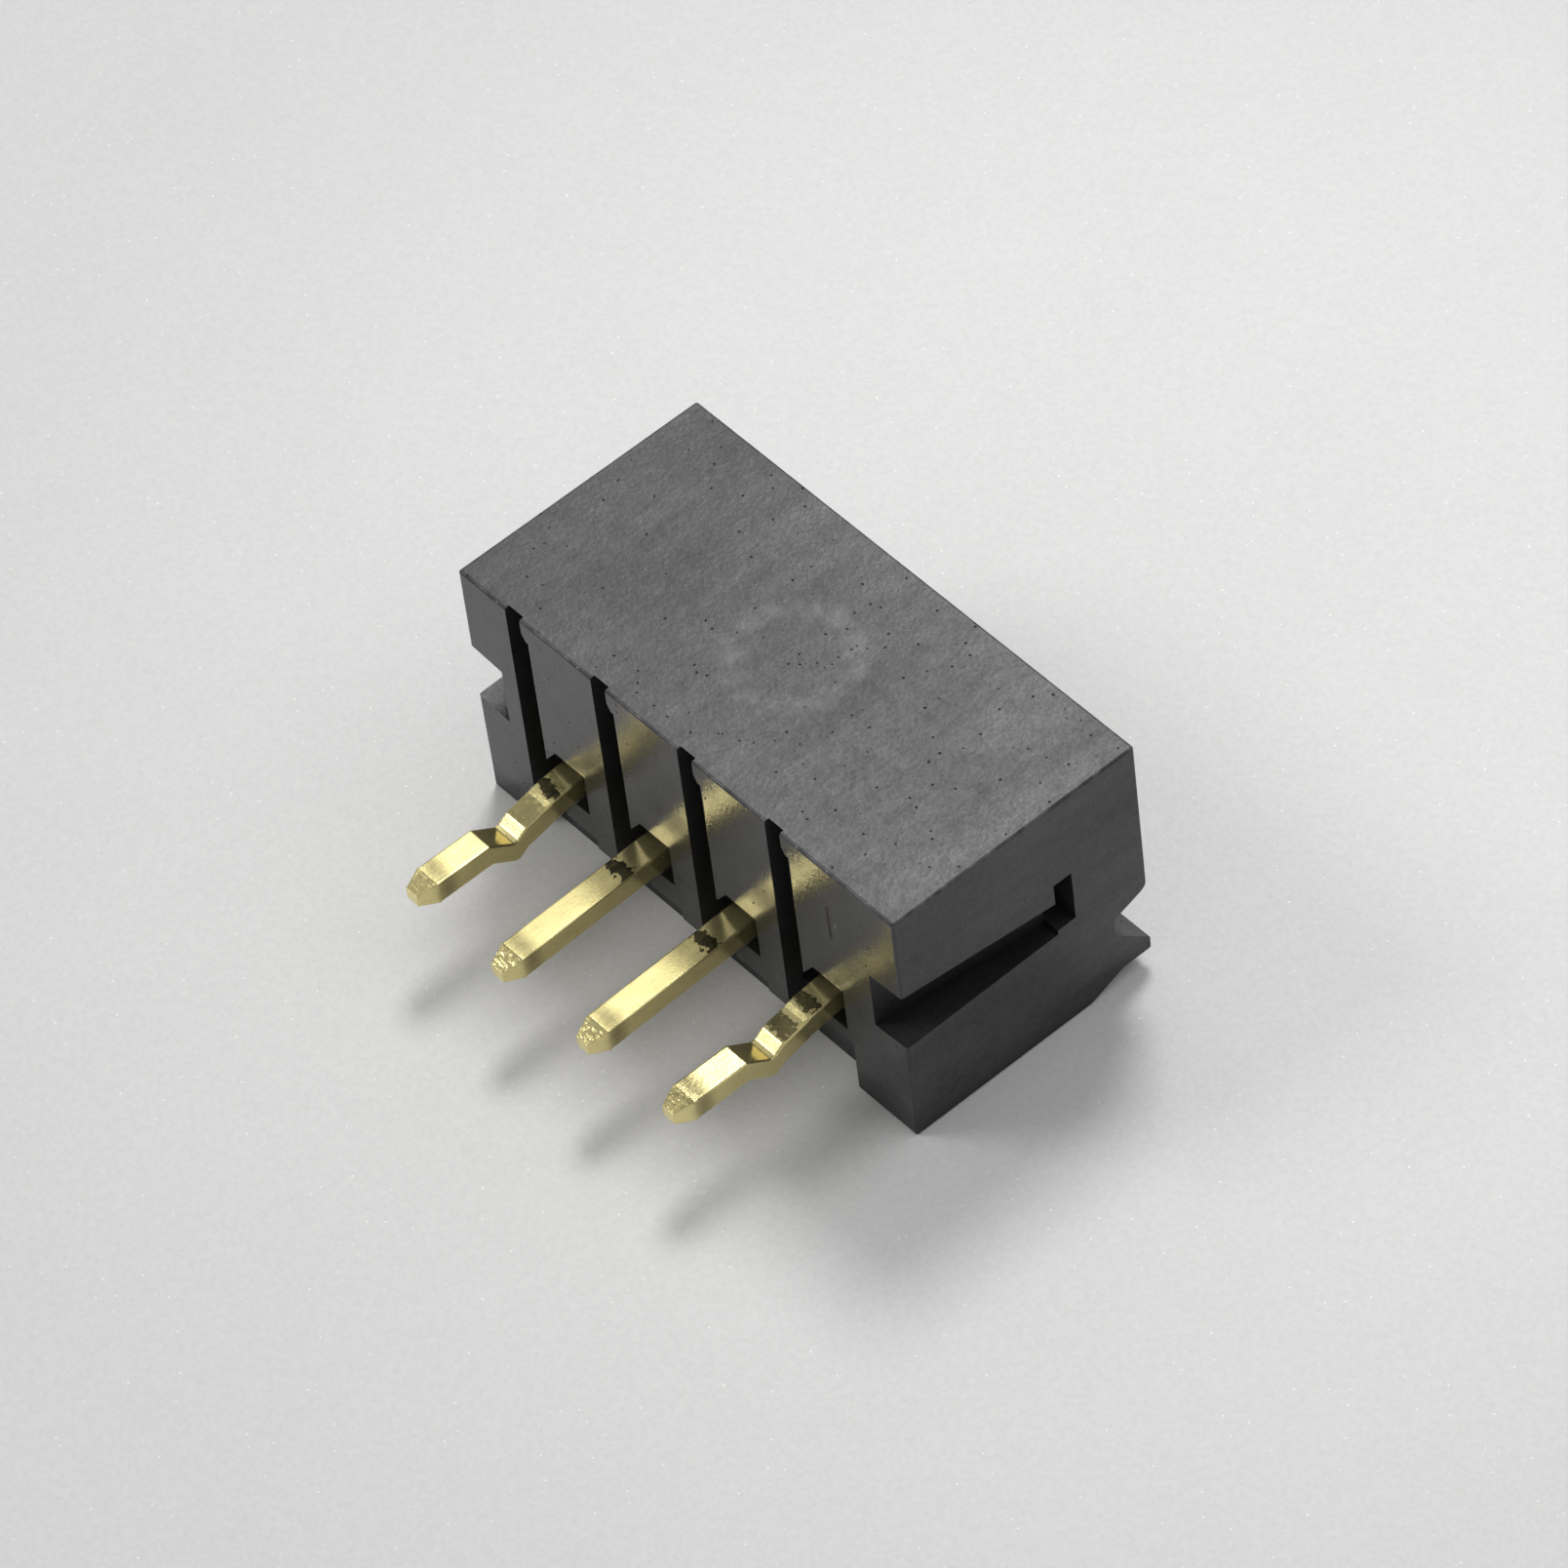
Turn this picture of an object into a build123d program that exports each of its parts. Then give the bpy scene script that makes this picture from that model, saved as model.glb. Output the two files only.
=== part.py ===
from build123d import *
from math import radians, tan
import os

# Wire-to-board pin header: one moulded housing and four stamped contacts.
# X runs along the row of contacts, +Y is the way the mating plug leaves, +Z is up as the part lies.
# The origin is the middle of the row of contacts in the board face. All sizes are in millimetres.

# Housing block
pitch = 2.0
contact_count = 4
end_margin = 1.99
housing_depth = 4.85
housing_height = 5.05
row_height = 1.62
edge_round = 0.05

# Draft on the two ends, below the channels
draft_height = 2.15
draft_inset = 0.03

# Mating cavity
base_thickness = 1.5
end_wall = 0.75
top_wall = 0.6
bottom_wall = 0.85
cavity_round = 0.15
mouth_chamfer = 0.12

# Relief under the bottom wall, at the mating rim
relief_flat = 0.58
relief_ramp = 0.67
relief_rise = 0.28
relief_round = 0.1

# Notch in the rim of each end wall: depths from the rim, heights from the rest wall
notch_top = 1.81
notch_lip_depth = 0.68
notch_lip_height = 1.56
notch_floor_depth = 0.73
notch_floor_height = 1.2
notch_low = 0.55
notch_round = 0.25
tongue_round = 0.2

# Tapered channel along each end, heights from the rest wall
channel_low_front = 2.22
channel_high_front = 3.40
channel_low_back = 2.29
channel_high_back = 3.0
channel_depth_front = 0.74
channel_depth_back = 0.33
channel_slope = 0.14

# Lock window at the back of each channel
window_start = 3.06
window_width = 0.36
window_low = 2.27
window_high = 3.32

# Recess round each contact in the board face, measured from the contact's middle
groove_left = 0.88
groove_right = 0.46
groove_flare = 0.08
groove_neck_right = 0.54
neck_height = 0.3
neck_slope = 0.14
groove_nick = 0.09
groove_roof = 0.5
land_low = 0.2
pocket_left = 0.15
pocket_right = 0.54
pocket_rise = 0.62
pocket_depth = 0.6
shelf_gap = 0.07
shelf_corner = 0.2
shelf_round = 0.16
shelf_tip = 0.08
shelf_tip_drop = 0.75
shelf_drop = 0.79
last_shelf_drop = 0.52
shelf_edge = 0.04

# Gap between the two feet, under the contacts and the ribs
foot_gap_right = 0.64
foot_gap_depth = 0.31
rib_height = 0.62

# Contacts
contact_width = 0.5
contact_thickness = 0.42
tail_length = 3.1
tail_tip = 0.35
tail_tip_width = 0.26
tail_tip_thickness = 0.22
post_below_rim = 0.55
post_tip = 0.4
post_tip_width = 0.2
post_tip_thickness = 0.18
barb_length = 0.4
barb_width = 0.09
barb_thickness = 0.21
edge_break = 0.035

# Droop of the two straight tails, in degrees
tail_droop = 2.6

# Kink in the tails of the two outer contacts, as depth below the contact in the housing
kink_start = 0.46
kink_start_drop = 0.07
kink_step = 0.1
kink_step_drop = 0.11
kink_ramp = 0.45
kink_ramp_drop = 0.21
kink_fall = 0.17
kink_depth = 0.34
kink_floor = 0.09
kink_rise = 0.44
kink_end_drop = 0.04
kink_bend = 0.05

# Levels and reaches that follow from the sizes above
housing_length = pitch * (contact_count - 1) + 2 * end_margin
z_rest = -row_height
z_top = housing_height - row_height
post_end = housing_depth - post_below_rim
barb_start = (pocket_depth + base_thickness - barb_length) / 2

# How far a cut runs past the face that it opens
overcut = 1.0


def face_in_yz(points):
    """A face in the YZ plane from (y, z) points."""
    return make_face(Polyline(*[(0, y, z) for y, z in points], close=True))


def face_in_xz(points):
    """A face in the XZ plane from (x, z) points."""
    return make_face(Polyline(*[(x, 0, z) for x, z in points], close=True))


def contact_places():
    """X of each contact's middle."""
    first = -pitch * (contact_count - 1) / 2
    return [first + pitch * i for i in range(contact_count)]


def outer_block():
    """The housing's outer form: the side view and the end view, crossed."""
    ramp_end = housing_depth - relief_flat
    side = face_in_yz([
        (0, z_rest),
        (ramp_end - relief_ramp, z_rest),
        (ramp_end, z_rest + relief_rise),
        (housing_depth, z_rest + relief_rise),
        (housing_depth, z_top),
        (0, z_top),
    ])
    half = housing_length / 2
    front = face_in_xz([
        (-half + draft_inset, z_rest),
        (half - draft_inset, z_rest),
        (half, z_rest + draft_height),
        (half, z_top),
        (-half, z_top),
        (-half, z_rest + draft_height),
    ])
    long_form = extrude(side, amount=half, dir=(1, 0, 0), both=True)
    deep_form = extrude(front, amount=housing_depth, dir=(0, 1, 0))
    block = long_form & deep_form
    return fillet(block.edges(), edge_round)


def cavity():
    """The space for the plug, with a rounded back and a chamfered mouth."""
    half = housing_length / 2 - end_wall
    low = z_rest + bottom_wall
    high = z_top - top_wall
    back = Plane.XZ.offset(-base_thickness)
    section = Rectangle(2 * half, high - low)
    middle = (0, (low + high) / 2)
    rounded = fillet(section.vertices(), cavity_round)
    room = extrude(back * Pos(*middle) * rounded, amount=-(housing_depth - base_thickness))
    lip = Plane.XZ.offset(-housing_depth)
    wide = offset(rounded, amount=mouth_chamfer)
    inner = Plane.XZ.offset(-(housing_depth - mouth_chamfer)) * Pos(*middle) * rounded
    funnel = loft([inner.face(), (lip * Pos(*middle) * wide).face()])
    return room + funnel


def rim_notch(side):
    """The pointed notch in the rim of one end wall, with round lips. side is -1 or 1."""
    lip = (housing_depth, z_rest + notch_top)
    tongue = (housing_depth, z_rest + notch_low)
    outline = face_in_yz([
        (housing_depth + overcut, z_top),
        (housing_depth, z_top),
        lip,
        (housing_depth - notch_lip_depth, z_rest + notch_lip_height),
        (housing_depth - notch_floor_depth, z_rest + notch_floor_height),
        tongue,
        (housing_depth, z_rest),
        (housing_depth + overcut, z_rest),
    ])
    for corner, radius in ((lip, notch_round), (tongue, tongue_round)):
        outline = fillet(outline.vertices().sort_by_distance((0, *corner))[0], radius)
    inside = housing_length / 2 - end_wall
    cut = extrude(outline, amount=end_wall + overcut, dir=(1, 0, 0))
    cut = Pos(inside, 0, 0) * cut
    return cut if side > 0 else mirror(cut, about=Plane.YZ)


def rim_round():
    """Rounds the lower edge of the rim, and so the tips of both tongues."""
    edge = Pos(0, housing_depth, z_rest + relief_rise)
    corner = Box(housing_length + overcut, 2 * relief_round, 2 * relief_round)
    rod = Rot(0, 90, 0) * Cylinder(relief_round, housing_length + overcut)
    return edge * (corner - Pos(0, -relief_round, relief_round) * rod)


def channel_section(y, low, high, depth):
    """One section of a channel: its floor and roof rise towards the outside."""
    outside = housing_length / 2
    face = face_in_xz([
        (outside - depth, z_rest + low - channel_slope),
        (outside + overcut, z_rest + low),
        (outside + overcut, z_rest + high),
        (outside - depth, z_rest + high - channel_slope),
    ])
    return Pos(0, y, 0) * face


def end_channel(side):
    """The tapered channel along one end, and the lock window at its back."""
    front = channel_section(0, channel_low_front, channel_high_front, channel_depth_front)
    back = channel_section(window_start, channel_low_back, channel_high_back, channel_depth_back)
    channel = loft([front, back])
    inside = housing_length / 2 - end_wall
    window = Box(
        end_wall + overcut,
        window_width,
        window_high - window_low,
        align=(Align.MIN, Align.MIN, Align.MIN),
    )
    cut = channel + Pos(inside - overcut / 2, window_start, z_rest + window_low) * window
    return cut if side > 0 else mirror(cut, about=Plane.YZ)


def flare(edge):
    """Rounds a groove's right edge, at x = edge, where the groove opens in the board face."""
    height = z_top - neck_height - neck_slope - land_low
    corner = Pos(edge - groove_flare, -groove_flare, land_low) * Box(
        2 * groove_flare,
        2 * groove_flare,
        height,
        align=(Align.MIN, Align.MIN, Align.MIN),
    )
    rod = Cylinder(groove_flare, height, align=(Align.CENTER, Align.CENTER, Align.MIN))
    return corner - Pos(edge + groove_flare, groove_flare, land_low) * rod


def recess(middle, drop):
    """The groove, pocket, shelf and foot gap round one contact. drop is the shelf's underside."""
    shelf_top = -contact_thickness / 2 - shelf_gap
    corner = (middle + shelf_corner, shelf_top)
    outline = face_in_xz([
        (middle - groove_left, -drop),
        (middle - groove_left, z_top + overcut),
        (middle - groove_neck_right, z_top + overcut),
        (middle - groove_neck_right, z_top - neck_height),
        (middle - groove_right, z_top - neck_height - neck_slope),
        (middle - groove_right, land_low),
        (middle - pocket_left, pocket_rise),
        (middle + pocket_right, pocket_rise),
        (middle + pocket_right, shelf_top),
        corner,
        (middle - shelf_tip, max(-shelf_tip_drop, shelf_edge - drop)),
        (middle - shelf_tip, -drop),
    ])
    outline = fillet(outline.vertices().sort_by_distance((corner[0], 0, corner[1]))[0], shelf_round)
    upper = extrude(outline, amount=pocket_depth, dir=(0, 1, 0)) + flare(middle - groove_right)
    roof = face_in_yz([
        (groove_nick, z_top),
        (groove_nick, z_top + overcut),
        (pocket_depth + overcut, z_top + overcut),
        (pocket_depth + overcut, z_top - groove_roof),
        (pocket_depth, z_top - groove_roof),
    ])
    upper -= Pos(middle, 0, 0) * extrude(roof, amount=groove_left + overcut, dir=(1, 0, 0), both=True)
    foot_gap = face_in_xz([
        (middle - groove_left, z_rest - overcut),
        (middle + foot_gap_right, z_rest - overcut),
        (middle + foot_gap_right, -drop),
        (middle - groove_left, -drop),
    ])
    lower = extrude(foot_gap, amount=foot_gap_depth, dir=(0, 1, 0))
    return upper + lower


def rib_gap():
    """The low gap under the ribs, from the first contact's groove to the last contact's foot."""
    left = min(contact_places()) - groove_left
    right = max(contact_places()) + foot_gap_right
    gap = Box(
        right - left,
        foot_gap_depth + overcut,
        rib_height + overcut,
        align=(Align.MIN, Align.MIN, Align.MIN),
    )
    return Pos(left, -overcut, z_rest - overcut) * gap


def tail_line(has_kink):
    """(y, z) points along the middle of one tail, from the board face to its end."""
    if not has_kink:
        return [(0, 0), (-tail_length, -tail_length * tan(radians(tail_droop)))]
    points = [(0, 0)]
    steps = [
        (kink_start, kink_start_drop),
        (kink_step, kink_step_drop),
        (kink_ramp, kink_ramp_drop),
        (kink_fall, kink_depth),
        (kink_floor, kink_depth),
        (kink_rise, kink_end_drop),
    ]
    for length, drop in steps:
        points.append((points[-1][0] - length, -drop))
    points.append((-tail_length, -kink_end_drop))
    return points


def tip(start, end, width, thickness):
    """A four-sided taper from the contact's full section to a small end. start and end are (y, z)."""
    full = Plane.XZ.offset(-start[0]) * Pos(0, start[1]) * Rectangle(contact_width, contact_thickness)
    small = Plane.XZ.offset(-end[0]) * Pos(0, end[1]) * Rectangle(width, thickness)
    return loft([full.face(), small.face()])


def tip_start(line):
    """Where the taper starts on the last straight run of a tail."""
    (y_bend, z_bend), (y_end, z_end) = line[-2:]
    slope = (z_end - z_bend) / (y_end - y_bend)
    return (y_end + tail_tip, z_end + slope * tail_tip)


def shank(line, has_kink):
    """The contact between its two tips, cut from strip as a side view along the tail's line."""
    half = contact_thickness / 2
    y_tail, z_tail = tip_start(line)
    y_post = post_end - post_tip
    middle = [(y_post, 0), *line[:-1], (y_tail, z_tail)]
    top = [(y, z + half) for y, z in middle]
    bottom = [(y, z - half) for y, z in middle]
    side = face_in_yz(top + bottom[::-1])
    if has_kink:
        bends = [v for v in side.vertices() if y_tail < v.Y < 0]
        side = fillet(bends, kink_bend)
    strip = extrude(side, amount=contact_width / 2, dir=(1, 0, 0), both=True)
    long_edges = strip.edges().filter_by(lambda e: abs(abs(e.center().X) - contact_width / 2) < edge_break)
    ends = (y_tail, y_post)
    sides = [e for e in long_edges if all(abs(e.center().Y - y) > edge_break for y in ends)]
    return fillet(sides, edge_break)


def barbs():
    """The two wedges that hold the contact in the housing."""
    root = contact_width / 2
    outline = make_face(Polyline(
        (-root, barb_start, 0),
        (-root - barb_width, barb_start, 0),
        (-root, barb_start + barb_length, 0),
        (root, barb_start + barb_length, 0),
        (root + barb_width, barb_start, 0),
        (root, barb_start, 0),
        close=True,
    ))
    return extrude(outline, amount=barb_thickness / 2, dir=(0, 0, 1), both=True)


def contact(middle, has_kink):
    """One contact: tail for the board, barbs in the housing, post for the plug."""
    line = tail_line(has_kink)
    tail_end = tip(tip_start(line), line[-1], tail_tip_width, tail_tip_thickness)
    post_point = tip((post_end - post_tip, 0), (post_end, 0), post_tip_width, post_tip_thickness)
    blade = shank(line, has_kink) + tail_end + post_point + barbs()
    return Pos(middle, 0, 0) * blade


def housing(contacts):
    """The moulded housing, with a seat for each contact."""
    body = outer_block() - cavity() - rim_round() - rib_gap()
    for side in (-1, 1):
        body -= rim_notch(side)
        body -= end_channel(side)
    last = max(contact_places())
    for middle in contact_places():
        body -= recess(middle, last_shelf_drop if middle == last else shelf_drop)
    for piece in contacts:
        body -= piece
    return body


outer_places = (min(contact_places()), max(contact_places()))
contacts = [contact(middle, middle in outer_places) for middle in contact_places()]
nodes = {"housing": housing(contacts)}
for number, piece in enumerate(contacts, start=1):
    nodes[f"contact_{number}"] = piece

os.makedirs("parts", exist_ok=True)
for name, shape in nodes.items():
    shape.label = name
    export_step(shape, f"parts/{name}.step")
    print(name, "volume", round(shape.volume, 4), "mm3")
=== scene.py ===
import math

import bpy
from mathutils import Matrix, Vector


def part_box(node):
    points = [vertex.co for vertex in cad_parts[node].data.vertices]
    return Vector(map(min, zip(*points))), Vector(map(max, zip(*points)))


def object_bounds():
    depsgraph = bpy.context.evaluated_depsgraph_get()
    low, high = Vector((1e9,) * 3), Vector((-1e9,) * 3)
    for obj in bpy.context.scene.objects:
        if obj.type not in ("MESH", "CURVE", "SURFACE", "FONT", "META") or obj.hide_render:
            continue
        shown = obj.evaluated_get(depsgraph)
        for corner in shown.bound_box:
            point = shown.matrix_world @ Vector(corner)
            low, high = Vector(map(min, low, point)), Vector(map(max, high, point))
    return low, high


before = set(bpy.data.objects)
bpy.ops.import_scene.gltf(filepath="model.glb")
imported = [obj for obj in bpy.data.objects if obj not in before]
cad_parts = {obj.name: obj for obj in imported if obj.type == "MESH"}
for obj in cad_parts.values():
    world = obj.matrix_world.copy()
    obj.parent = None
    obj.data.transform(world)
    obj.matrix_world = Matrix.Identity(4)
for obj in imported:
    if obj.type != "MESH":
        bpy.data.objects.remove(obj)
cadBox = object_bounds()
mm = 0.001
restLevel = cadBox[0].z   # the part lies on its long wall
print("frame loaded")

# camera: the photograph's own view, a long lens from about 156 mm
cameraSet = {
    "azimuth": 54.6,
    "elevation": 49.6,
    "roll": -7.77,
    "distance": 156.1 * mm,
    "lookAt": (-0.094 * mm, 2.026 * mm, 0.718 * mm),
    "lens": 234.8,
    "clipStart": 5 * mm,
    "clipEnd": 10.0,
}


def directionAt(azimuth, elevation):
    # azimuth 0 stands on the -Y side, 90 on the +X side
    a, e = math.radians(azimuth), math.radians(elevation)
    return Vector((math.sin(a) * math.cos(e), -math.cos(a) * math.cos(e), math.sin(e)))


def setCamera():
    camera = bpy.data.objects.new("viewCamera", bpy.data.cameras.new("viewCamera"))
    bpy.context.scene.collection.objects.link(camera)
    camera.data.lens = cameraSet["lens"]
    camera.data.clip_start = cameraSet["clipStart"]
    camera.data.clip_end = cameraSet["clipEnd"]
    turn = Matrix.Rotation(math.radians(cameraSet["azimuth"]), 3, "Z")
    tilt = Matrix.Rotation(math.radians(90 - cameraSet["elevation"]), 3, "X")
    roll = Matrix.Rotation(math.radians(cameraSet["roll"]), 3, "Z")
    camera.rotation_euler = (turn @ tilt @ roll).to_euler()
    away = directionAt(cameraSet["azimuth"], cameraSet["elevation"])
    camera.location = Vector(cameraSet["lookAt"]) + away * cameraSet["distance"]
    bpy.context.scene.camera = camera


setCamera()
print("camera set")

# light: an even pale room and four soft lamps, all aimed at the part
lightSet = {
    "roomColor": (0.98, 0.99, 1.0),
    "roomLevel": 0.34,
    "lampDistance": 250 * mm,
    "lampColor": (1.0, 0.99, 0.97),
    "lamps": {
        "keyLamp": {"azimuth": -142.0, "elevation": 55.5, "size": 76 * mm, "power": 0.24},
        "broadLamp": {"azimuth": -123.0, "elevation": 51.0, "size": 132 * mm, "power": 0.037},
        "frontLamp": {"azimuth": -47.5, "elevation": 43.0, "size": 98 * mm, "power": 0.13},
        "rearLamp": {"azimuth": 140.0, "elevation": 58.0, "size": 230 * mm, "power": 0.11},
    },
}


def setLight():
    world = bpy.data.worlds.new("paleRoom")
    world.use_nodes = True
    background = world.node_tree.nodes["Background"]
    background.inputs["Color"].default_value = (*lightSet["roomColor"], 1.0)
    background.inputs["Strength"].default_value = lightSet["roomLevel"]
    bpy.context.scene.world = world
    for name, values in lightSet["lamps"].items():
        lamp = bpy.data.lights.new(name, "AREA")
        lamp.shape = "DISK"
        lamp.size = values["size"]
        lamp.energy = values["power"]
        lamp.color = lightSet["lampColor"]
        holder = bpy.data.objects.new(name, lamp)
        bpy.context.scene.collection.objects.link(holder)
        toLamp = directionAt(values["azimuth"], values["elevation"])
        holder.location = toLamp * lightSet["lampDistance"]
        holder.rotation_euler = toLamp.to_track_quat("Z", "Y").to_euler()
    bpy.context.scene.view_settings.view_transform = "Standard"


setLight()
print("light set")


# small helpers for node trees
noiseSpan = (0.3, 0.7)


def addNode(tree, kind, values=None, **settings):
    node = tree.nodes.new(kind)
    for name, value in settings.items():
        setattr(node, name, value)
    for name, value in (values or {}).items():
        if isinstance(value, bpy.types.NodeSocket):
            tree.links.new(value, node.inputs[name])
        else:
            node.inputs[name].default_value = value
    return node


def calc(tree, operation, first, second=0.0):
    return addNode(tree, "ShaderNodeMath", {0: first, 1: second}, operation=operation).outputs[0]


def remap(tree, value, fromLow, fromHigh, toLow, toHigh, kind="LINEAR"):
    values = {
        "Value": value,
        "From Min": fromLow,
        "From Max": fromHigh,
        "To Min": toLow,
        "To Max": toHigh,
    }
    return addNode(tree, "ShaderNodeMapRange", values, interpolation_type=kind).outputs[0]


def scaledVector(tree, vector, scale):
    return addNode(tree, "ShaderNodeVectorMath", {0: vector, "Scale": scale}, operation="SCALE").outputs[0]


def millimetrePlace(tree):
    # the object's own coordinates, in millimetres
    place = addNode(tree, "ShaderNodeTexCoord").outputs["Object"]
    return scaledVector(tree, place, 1 / mm)


def distanceTo(tree, place, point):
    ends = {0: place, 1: point}
    return addNode(tree, "ShaderNodeVectorMath", ends, operation="DISTANCE").outputs["Value"]


def axesOf(tree, vector):
    return addNode(tree, "ShaderNodeSeparateXYZ", {0: vector}).outputs


def noiseAt(tree, place, perMillimetre, detail, stretch=(1, 1, 1), shift=(0, 0, 0)):
    moved = addNode(tree, "ShaderNodeMapping", {"Vector": place, "Scale": stretch, "Location": shift})
    values = {"Vector": moved.outputs[0], "Scale": perMillimetre, "Detail": detail}
    return addNode(tree, "ShaderNodeTexNoise", values).outputs["Fac"]


def swingOf(tree, noise, depth):
    # a noise, which mostly lies in noiseSpan, turned into a value that swings by depth about zero
    return remap(tree, noise, *noiseSpan, -depth / 2, depth / 2)


def spotsAt(tree, place, perMillimetre, size, share, shift=(0, 0, 0)):
    # round spots: 1 inside a spot, 0 outside, in a share of the cells
    moved = addNode(tree, "ShaderNodeMapping", {"Vector": place, "Location": shift}).outputs[0]
    cells = addNode(tree, "ShaderNodeTexVoronoi", {"Vector": moved, "Scale": perMillimetre})
    rim = size * perMillimetre
    inside = remap(tree, cells.outputs["Distance"], rim / 2, rim, 1.0, 0.0)
    draw = addNode(tree, "ShaderNodeSeparateColor", {0: cells.outputs["Color"]}).outputs[0]
    chosen = calc(tree, "LESS_THAN", draw, share)
    return calc(tree, "MULTIPLY", inside, chosen)


def nearValue(tree, value, middle, width):
    # 1 where the value is at the middle, fading to 0 at width from it
    off = calc(tree, "ABSOLUTE", calc(tree, "SUBTRACT", value, middle))
    return remap(tree, off, 0.0, width, 1.0, 0.0, "SMOOTHSTEP")


def addAll(tree, *terms):
    total = terms[0]
    for term in terms[1:]:
        total = calc(tree, "ADD", total, term)
    return total


def multiplyAll(tree, *terms):
    total = terms[0]
    for term in terms[1:]:
        total = calc(tree, "MULTIPLY", total, term)
    return total


def facing(tree, axis, low, high):
    # 0 to 1 as the surface's own normal turns towards one axis
    sides = {0: addNode(tree, "ShaderNodeTexCoord").outputs["Normal"], 1: axis}
    along = addNode(tree, "ShaderNodeVectorMath", sides, operation="DOT_PRODUCT").outputs["Value"]
    return remap(tree, along, low, high, 0.0, 1.0)


def newMaterial(name):
    material = bpy.data.materials.new(name)
    material.use_nodes = True
    return material, material.node_tree, material.node_tree.nodes["Principled BSDF"]


def giveMaterial(node, material):
    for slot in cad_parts[node].material_slots:
        slot.material = material


# black moulded plastic: matt grainy walls, smoother board face, one round mark and one scratch
plasticSet = {
    "color": (0.026, 0.026, 0.0275),
    # each noise: waves per millimetre, detail, stretch and shift
    "noises": {
        "cloud": (1.0, 3.0, (0.8, 0.45, 0.8), (3.1, 0.4, 0)),
        "streak": (1.0, 2.0, (2.4, 0.3, 2.4), (0, 2.0, 0)),
        "grain": (15.0, 4.0),
        "coarse": (4.0, 3.0),
    },
    # each kind of spot: cells per millimetre, radius, share of the cells and shift
    "spots": {
        "pits": (6.0, 0.026, 0.35),
        "flecks": (6.0, 0.022, 0.07, (0.3, 0.7, 0.1)),
        "burrsAndGlints": (10.0, 0.03, 0.3, (0.5, 0.1, 0.9)),
    },
    "cloudDepth": 0.5,
    "streakDepth": 0.5,
    "grainDepth": 0.7,
    "blotchDepth": 0.3,
    "pitDarkness": 1.0,
    "scratchDarkness": 1.0,
    "fleckGain": 3.0,
    "chipGain": 10.0,
    "darkest": 0.1,
    "roughness": 0.38,
    "roughnessSwing": 0.05,
    "faceRoughness": 0.21,
    "faceLean": (0.2, 0.8),
    "faceBand": 0.05,
    "pitRoughness": 0.35,
    "scratchRoughness": 0.4,
    "chipRoughness": 0.3,
    # rises are in grain heights
    "grainHeight": 0.004 * mm,
    "streakRise": 1.2,
    "cloudRise": 2.2,
    "coarseRise": 0.4,
    "pitRise": -1.5,
    "scratchRise": -8.0,
    "chipRise": 3.0,
    "hollowReach": 0.7 * mm,
    "hollowRays": 2,
    "hollowSpan": (0.4, 0.85),
    "hollowShadeTone": 0.25,
    "hollowRoughness": 0.4,
    "topBand": 0.1,
    "edgeLean": (0.985, 0.93),
    # wear and painted sheen on the upper edges: the span of the noise, then its value at both ends
    "edgeWearAndSheenSpan": (0.42, 0.6, 0.1, 1.0),
    "edgeWearAndSheenGain": 2.4,
    "edgeRoughness": 0.1,
    "burrAndGlintGain": 5.0,
    "ior": 1.5,
    "ringCentre": (0.0, 2.46),
    "ringRadius": 0.98,
    "ringWidth": 0.33,
    "ringWear": (0.35, 0.65, 0.25, 1.0),
    "ringGain": 2.2,
    "scratchX": 3.42,
    "scratchLow": 1.73,
    "scratchHigh": 2.58,
    "scratchWidth": 0.045,
    "scratchBend": 0.03,
    "scratchTaper": 0.4,
    "chipPlace": (3.566, 2.203),
    "chipSize": 0.03,
}


def nearTop(tree, place):
    # 1 within a thin band under the top wall's level, 0 below
    topLevel = cadBox[1].z / mm
    return calc(tree, "GREATER_THAN", axesOf(tree, place)[2], topLevel - plasticSet["topBand"])


def onUpperEdges(tree, place):
    # 1 on the rounded edges of the top wall, whose normal leans away from every axis, 0 elsewhere
    normal = addNode(tree, "ShaderNodeTexCoord").outputs["Normal"]
    leans = [calc(tree, "ABSOLUTE", lean) for lean in axesOf(tree, normal)]
    most = calc(tree, "MAXIMUM", calc(tree, "MAXIMUM", leans[0], leans[1]), leans[2])
    rounded = remap(tree, most, *plasticSet["edgeLean"], 0.0, 1.0)
    return multiplyAll(tree, rounded, nearTop(tree, place))


def ringMark(tree, place, patches):
    # the faint round mark of the mould, on the top wall only, worn unevenly
    x, y = axesOf(tree, place)[:2]
    middleX, middleY = plasticSet["ringCentre"]
    offX = calc(tree, "SUBTRACT", x, middleX)
    offY = calc(tree, "SUBTRACT", y, middleY)
    squares = addAll(tree, multiplyAll(tree, offX, offX), multiplyAll(tree, offY, offY))
    distance = calc(tree, "SQRT", squares)
    band = nearValue(tree, distance, plasticSet["ringRadius"], plasticSet["ringWidth"])
    worn = remap(tree, patches, *plasticSet["ringWear"])
    return multiplyAll(tree, band, nearTop(tree, place), worn)


def faceScratch(tree, place, wobble):
    # one thin upright scratch beside the last contact
    x, y, z = axesOf(tree, place)
    bent = calc(tree, "ADD", x, swingOf(tree, wobble, plasticSet["scratchBend"]))
    across = nearValue(tree, bent, plasticSet["scratchX"], plasticSet["scratchWidth"])
    halfLength = (plasticSet["scratchHigh"] - plasticSet["scratchLow"]) / 2
    along = nearValue(tree, z, plasticSet["scratchLow"] + halfLength, halfLength)
    tapered = calc(tree, "POWER", along, plasticSet["scratchTaper"])
    onFace = calc(tree, "LESS_THAN", y, plasticSet["faceBand"])
    return multiplyAll(tree, across, tapered, onFace)


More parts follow.
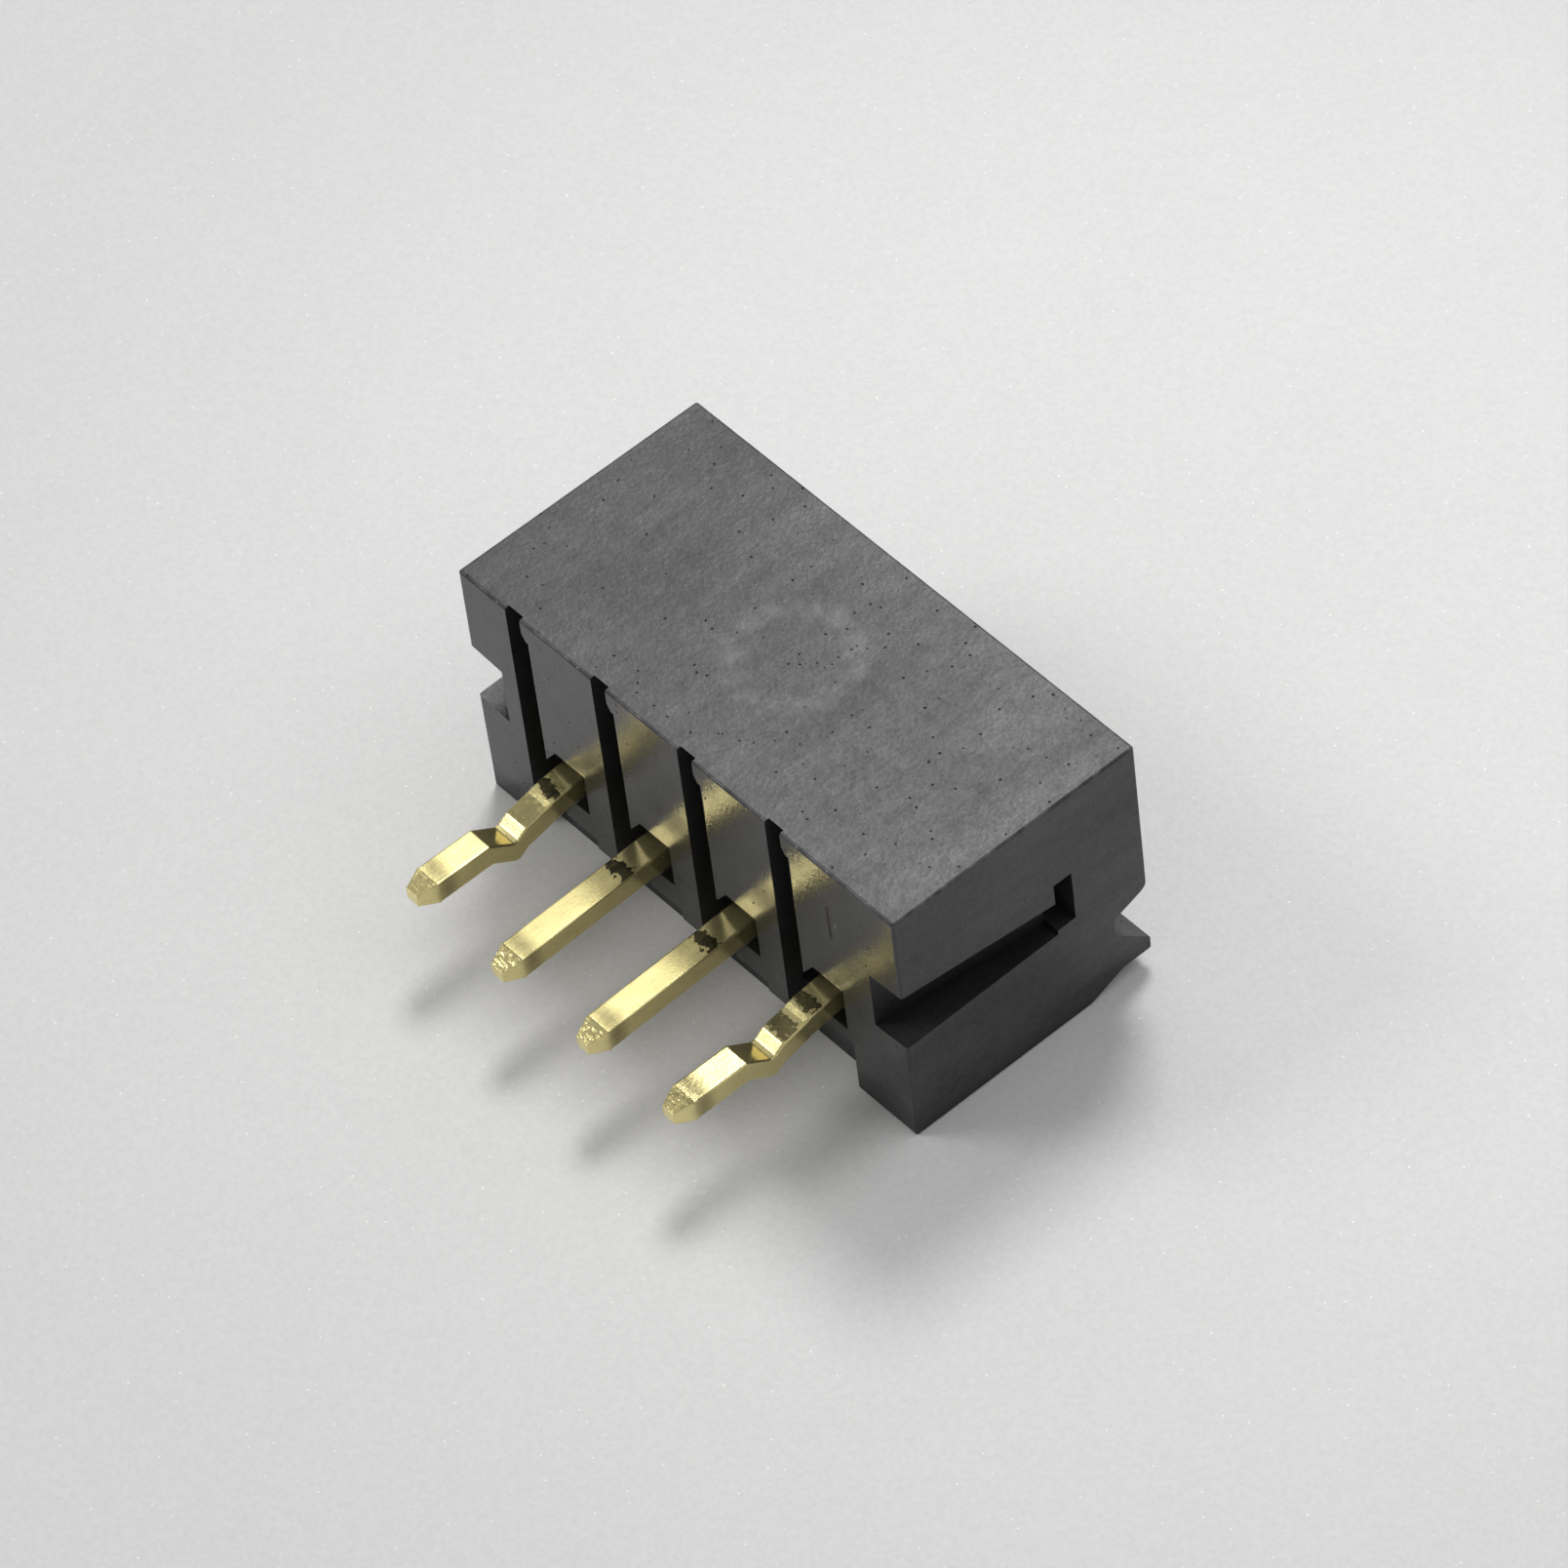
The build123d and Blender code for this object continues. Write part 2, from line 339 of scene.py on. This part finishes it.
def faceChip(tree, place):
    # one light chip beside the scratch
    chipX, chipZ = plasticSet["chipPlace"]
    off = distanceTo(tree, place, (chipX, 0.0, chipZ))
    return remap(tree, off, plasticSet["chipSize"] / 2, plasticSet["chipSize"], 1.0, 0.0)


def blackPlastic():
    material, tree, shader = newMaterial("blackPlastic")
    place = millimetrePlace(tree)
    noises, spots = plasticSet["noises"], plasticSet["spots"]
    cloud = noiseAt(tree, place, *noises["cloud"])
    streak = noiseAt(tree, place, *noises["streak"])
    grain = noiseAt(tree, place, *noises["grain"])
    coarse = noiseAt(tree, place, *noises["coarse"])
    pits = spotsAt(tree, place, *spots["pits"])
    flecks = spotsAt(tree, place, *spots["flecks"])
    ring = ringMark(tree, place, coarse)
    scratch = faceScratch(tree, place, coarse)
    chip = faceChip(tree, place)
    edge = onUpperEdges(tree, place)
    # the upper edges are painted lighter: patchy wear, and a painted sheen that hides the dark reflection
    # of their rounding
    edgeWearAndSheen = multiplyAll(tree, edge, remap(tree, coarse, *plasticSet["edgeWearAndSheenSpan"]))
    # light specks along the upper edges: burrs, painted light as glints
    burrsAndGlints = multiplyAll(tree, edge, spotsAt(tree, place, *spots["burrsAndGlints"]))
    tone = addAll(
        tree,
        1.0,
        swingOf(tree, cloud, plasticSet["cloudDepth"]),
        swingOf(tree, streak, plasticSet["streakDepth"]),
        swingOf(tree, grain, plasticSet["grainDepth"]),
        swingOf(tree, coarse, plasticSet["blotchDepth"]),
        calc(tree, "MULTIPLY", flecks, plasticSet["fleckGain"]),
        calc(tree, "MULTIPLY", ring, plasticSet["ringGain"]),
        calc(tree, "MULTIPLY", edgeWearAndSheen, plasticSet["edgeWearAndSheenGain"]),
        calc(tree, "MULTIPLY", burrsAndGlints, plasticSet["burrAndGlintGain"]),
        calc(tree, "MULTIPLY", chip, plasticSet["chipGain"]),
        calc(tree, "MULTIPLY", pits, -plasticSet["pitDarkness"]),
        calc(tree, "MULTIPLY", scratch, -plasticSet["scratchDarkness"]),
    )
    # painted shade: the base colour is darkened in grooves, channels and windows, where little light
    # reaches; they are also rougher
    reach = {"Distance": plasticSet["hollowReach"]}
    hollow = addNode(tree, "ShaderNodeAmbientOcclusion", reach, samples=plasticSet["hollowRays"])
    openness = remap(tree, hollow.outputs["AO"], *plasticSet["hollowSpan"], 0.0, 1.0)
    paintedHollowShade = remap(tree, openness, 0.0, 1.0, plasticSet["hollowShadeTone"], 1.0)
    closedness = calc(tree, "SUBTRACT", 1.0, openness)
    tone = multiplyAll(tree, calc(tree, "MAXIMUM", tone, plasticSet["darkest"]), paintedHollowShade)
    tree.links.new(scaledVector(tree, plasticSet["color"], tone), shader.inputs["Base Color"])
    # the board face came from a smoother side of the mould
    towardBoard = facing(tree, (0, -1, 0), *plasticSet["faceLean"])
    level = remap(tree, towardBoard, 0.0, 1.0, plasticSet["roughness"], plasticSet["faceRoughness"])
    swing = plasticSet["roughnessSwing"]
    rough = addAll(
        tree,
        level,
        swingOf(tree, cloud, -swing),
        swingOf(tree, streak, -swing / 2),
        swingOf(tree, coarse, -swing),
        swingOf(tree, grain, -swing),
        calc(tree, "MULTIPLY", edge, plasticSet["edgeRoughness"]),
        calc(tree, "MULTIPLY", pits, plasticSet["pitRoughness"]),
        calc(tree, "MULTIPLY", closedness, plasticSet["hollowRoughness"]),
        calc(tree, "MULTIPLY", scratch, plasticSet["scratchRoughness"]),
        calc(tree, "MULTIPLY", chip, plasticSet["chipRoughness"]),
    )
    tree.links.new(rough, shader.inputs["Roughness"])
    height = addAll(
        tree,
        grain,
        calc(tree, "MULTIPLY", streak, plasticSet["streakRise"]),
        calc(tree, "MULTIPLY", cloud, plasticSet["cloudRise"]),
        calc(tree, "MULTIPLY", coarse, plasticSet["coarseRise"]),
        calc(tree, "MULTIPLY", pits, plasticSet["pitRise"]),
        calc(tree, "MULTIPLY", scratch, plasticSet["scratchRise"]),
        calc(tree, "MULTIPLY", chip, plasticSet["chipRise"]),
    )
    bump = {"Height": height, "Distance": plasticSet["grainHeight"], "Strength": 1.0}
    tree.links.new(addNode(tree, "ShaderNodeBump", bump).outputs[0], shader.inputs["Normal"])
    shader.inputs["IOR"].default_value = plasticSet["ior"]
    return material


giveMaterial("housing", blackPlastic())
print("housing finished")

# gilt contacts: drawn strip with painted dark reflection patches on the tails and rough sheared tips
giltSet = {
    "color": (0.88, 0.765, 0.36),
    # each noise: waves per millimetre, detail, stretch and shift
    "noises": {
        "lines": (1.0, 3.0, (40, 1.6, 40)),
        "grain": (24.0, 3.0),
        "dents": (2.4, 2.0),
        "film": (4.0, 3.0, (1, 0.6, 1), (5, 1, 2)),
        "lumps": (11.0, 3.0),
    },
    # cells per millimetre, radius and share of the cells
    "pits": (9.0, 0.018, 0.3),
    "lineDepth": 0.1,
    "grainDepth": 0.12,
    "pitDarkness": 0.35,
    "filmTone": (0.92, 1.04),
    "darkest": 0.05,
    "metallic": 0.84,
    "roughness": 0.168,
    "roughnessSwing": 0.05,
    "edgeRound": 0.02 * mm,
    "edgeRays": 3,
    "grainHeight": 0.0009 * mm,
    "lineHeight": 0.0008 * mm,
    "dentHeight": 0.0008 * mm,
    "tipHeight": 0.014 * mm,
    "tipStart": -2.74,
    "tipFade": 0.06,
    "tipBand": 0.3,
    "tipBandTone": -0.5,
    "reflectionPatchDarkness": 0.9,
    "patchSqueeze": 0.4,
    "patchRaggedness": 1.3,
    "patchFade": 0.02,
    "patchLean": (0.8, 0.95),
    # (place along the tail, half its length, darkness) of each painted dark reflection patch, for each
    # contact
    "patches": {
        1: ((-0.30, 0.10, 0.95), (-0.80, 0.20, 0.3)),
        2: ((-0.60, 0.12, 1.0),),
        3: ((-0.60, 0.12, 1.0),),
        4: ((-0.29, 0.11, 0.9), (-0.80, 0.15, 0.8), (-2.25, 0.6, 0.3)),
    },
}


def paintedReflectionPatch(tree, place, lumps, middle, patch):
    # one ragged painted dark reflection on the upper side of a tail
    along, half, darkness = patch
    squeeze = giltSet["patchSqueeze"]
    squeezed = {0: place, 1: (squeeze, 1.0, 0.0)}
    flat = addNode(tree, "ShaderNodeVectorMath", squeezed, operation="MULTIPLY").outputs[0]
    off = distanceTo(tree, flat, (squeeze * middle, along, 0.0))
    ragged = calc(tree, "ADD", off, swingOf(tree, lumps, half * giltSet["patchRaggedness"]))
    inside = remap(tree, ragged, half, half + giltSet["patchFade"], 1.0, 0.0)
    return multiplyAll(tree, inside, facing(tree, (0, 0, 1), *giltSet["patchLean"]), darkness)


def giltBrass(number):
    material, tree, shader = newMaterial(f"giltBrass{number}")
    low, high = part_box(f"contact_{number}")
    middle = (low[0] + high[0]) / 2 / mm
    place = millimetrePlace(tree)
    noises = giltSet["noises"]
    lines = noiseAt(tree, place, *noises["lines"])
    grain = noiseAt(tree, place, *noises["grain"])
    dents = noiseAt(tree, place, *noises["dents"])
    film = noiseAt(tree, place, *noises["film"])
    lumps = noiseAt(tree, place, *noises["lumps"])
    pits = spotsAt(tree, place, *giltSet["pits"])
    along = axesOf(tree, place)[1]
    onTip = remap(tree, along, giltSet["tipStart"], giltSet["tipStart"] - giltSet["tipFade"], 0.0, 1.0)
    band = nearValue(tree, along, giltSet["tipStart"] + giltSet["tipBand"] / 2, giltSet["tipBand"])
    patches = [paintedReflectionPatch(tree, place, lumps, middle, patch) for patch in giltSet["patches"][number]]
    # the painted dark reflections on the upper side of the tail
    worn = addAll(tree, *patches)
    tone = addAll(
        tree,
        remap(tree, film, *noiseSpan, *giltSet["filmTone"]),
        swingOf(tree, lines, giltSet["lineDepth"]),
        swingOf(tree, grain, giltSet["grainDepth"]),
        calc(tree, "MULTIPLY", pits, -giltSet["pitDarkness"]),
        calc(tree, "MULTIPLY", worn, -giltSet["reflectionPatchDarkness"]),
        calc(tree, "MULTIPLY", band, giltSet["tipBandTone"]),
    )
    tone = calc(tree, "MAXIMUM", tone, giltSet["darkest"])
    tree.links.new(scaledVector(tree, giltSet["color"], tone), shader.inputs["Base Color"])
    rough = addAll(
        tree,
        giltSet["roughness"],
        swingOf(tree, film, giltSet["roughnessSwing"]),
        calc(tree, "MULTIPLY", pits, giltSet["roughnessSwing"] * 2),
    )
    tree.links.new(rough, shader.inputs["Roughness"])
    shader.inputs["Metallic"].default_value = giltSet["metallic"]
    radius = {"Radius": giltSet["edgeRound"]}
    normal = addNode(tree, "ShaderNodeBevel", radius, samples=giltSet["edgeRays"]).outputs[0]
    reliefs = (
        (dents, giltSet["dentHeight"]),
        (calc(tree, "MULTIPLY", lumps, onTip), giltSet["tipHeight"]),
        (grain, giltSet["grainHeight"]),
        (lines, giltSet["lineHeight"]),
    )
    for height, distance in reliefs:
        values = {"Height": height, "Distance": distance, "Strength": 1.0, "Normal": normal}
        normal = addNode(tree, "ShaderNodeBump", values).outputs[0]
    tree.links.new(normal, shader.inputs["Normal"])
    return material


for number in giltSet["patches"]:
    giveMaterial(f"contact_{number}", giltBrass(number))
print("contacts finished")

# pale floor with a painted pool of light behind the part and fine painted glints
floorSet = {
    "reach": 1.2,
    "color": (0.80, 0.80, 0.805),
    "paintedPoolCentre": (0.5, 10.0, 0.0),
    "paintedPoolInside": 6.0,
    "paintedPoolOutside": 24.0,
    "paintedPoolFarTone": 0.86,
    # waves per millimetre and detail
    "grain": (12.0, 3.0),
    "cloud": (0.4, 2.0),
    "grainDepth": 0.07,
    "cloudDepth": 0.012,
    # cells per millimetre, radius and share of the cells
    "paintedGlints": (5.0, 0.022, 0.35),
    "paintedGlintGain": 0.33,
    "roughness": 0.5,
    "specular": 0.3,
    "grainHeight": 0.006 * mm,
}


def paleFloor():
    bpy.ops.object.select_all(action="DESELECT")
    bpy.ops.mesh.primitive_plane_add(size=floorSet["reach"], location=(0, 0, restLevel))
    floor = bpy.context.object
    floor.name = "paleFloor"
    bpy.ops.object.transform_apply(location=True, rotation=True, scale=True)
    material, tree, shader = newMaterial("palePaper")
    place = millimetrePlace(tree)
    grain = noiseAt(tree, place, *floorSet["grain"])
    cloud = noiseAt(tree, place, *floorSet["cloud"])
    # painted glints: small spots of brighter floor colour
    paintedGlints = spotsAt(tree, place, *floorSet["paintedGlints"])
    x, y = axesOf(tree, place)[:2]
    level = addNode(tree, "ShaderNodeCombineXYZ", {0: x, 1: y, 2: 0.0}).outputs[0]
    away = distanceTo(tree, level, floorSet["paintedPoolCentre"])
    inside, outside = floorSet["paintedPoolInside"], floorSet["paintedPoolOutside"]
    # painted light: the floor colour is brightest around a point behind the part and darker far from it
    paintedLightPool = remap(tree, away, inside, outside, 1.0, floorSet["paintedPoolFarTone"], "SMOOTHSTEP")
    texture = addAll(
        tree,
        1.0,
        swingOf(tree, grain, floorSet["grainDepth"]),
        swingOf(tree, cloud, floorSet["cloudDepth"]),
        calc(tree, "MULTIPLY", paintedGlints, floorSet["paintedGlintGain"]),
    )
    tone = calc(tree, "MULTIPLY", paintedLightPool, texture)
    tree.links.new(scaledVector(tree, floorSet["color"], tone), shader.inputs["Base Color"])
    shader.inputs["Roughness"].default_value = floorSet["roughness"]
    shader.inputs["Specular IOR Level"].default_value = floorSet["specular"]
    bump = {"Height": grain, "Distance": floorSet["grainHeight"], "Strength": 1.0}
    tree.links.new(addNode(tree, "ShaderNodeBump", bump).outputs[0], shader.inputs["Normal"])
    floor.data.materials.append(material)


paleFloor()
print("floor laid")
